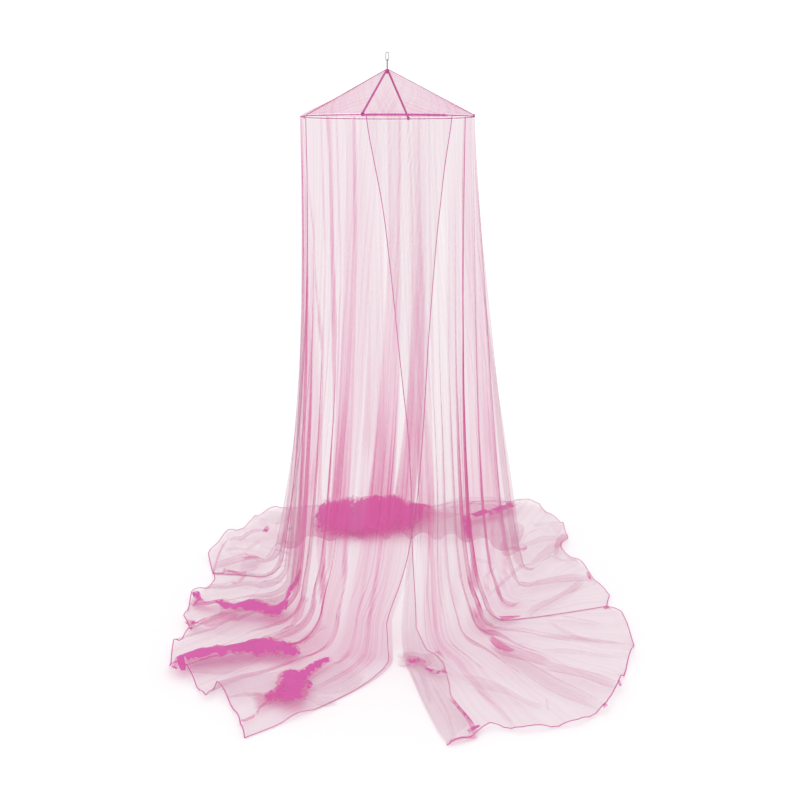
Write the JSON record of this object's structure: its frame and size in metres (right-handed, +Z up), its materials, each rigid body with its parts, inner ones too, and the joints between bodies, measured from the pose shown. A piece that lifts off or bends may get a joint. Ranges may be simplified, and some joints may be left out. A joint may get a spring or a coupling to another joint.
{
  "type": "mosquito net canopy with hoop",
  "caption": "Round net canopy: a low gored cone over a wire hoop, hung from one ring, with an overlapped skirt that falls to the floor and pools there in a wide fan.",
  "frame": {"origin": "the hanging point, inside the top of the hanging ring, on the hoop's axis", "axes": "+Z up; the hoop's axis is Z and the overlapped front of the skirt faces -Y"},
  "size_m": [1.6342, 1.9672, 2.0129],
  "materials": {
    "net": "fine pink polyester net, sheer in one layer",
    "tape": "magenta woven binding tape",
    "cord": "dyed braided cord",
    "hoop_wire": "pink coated steel wire",
    "ring_metal": "bright zinc plated wire"
  },
  "bodies": {
    "root": {"hanging_ring": "ring_metal", "hanging_loop": "cord", "crown": "tape", "hoop": "hoop_wire", "hoop_channel": "tape", "roof_gore_front_right": "net", "roof_gore_back_right": "net", "roof_gore_back_left": "net", "roof_gore_front_left": "net", "roof_seam_front": "tape", "roof_seam_right": "tape", "roof_seam_back": "tape", "roof_seam_left": "tape", "skirt_front_right": "net", "skirt_back": "net", "skirt_front_left": "net"}
  },
  "joints": []
}
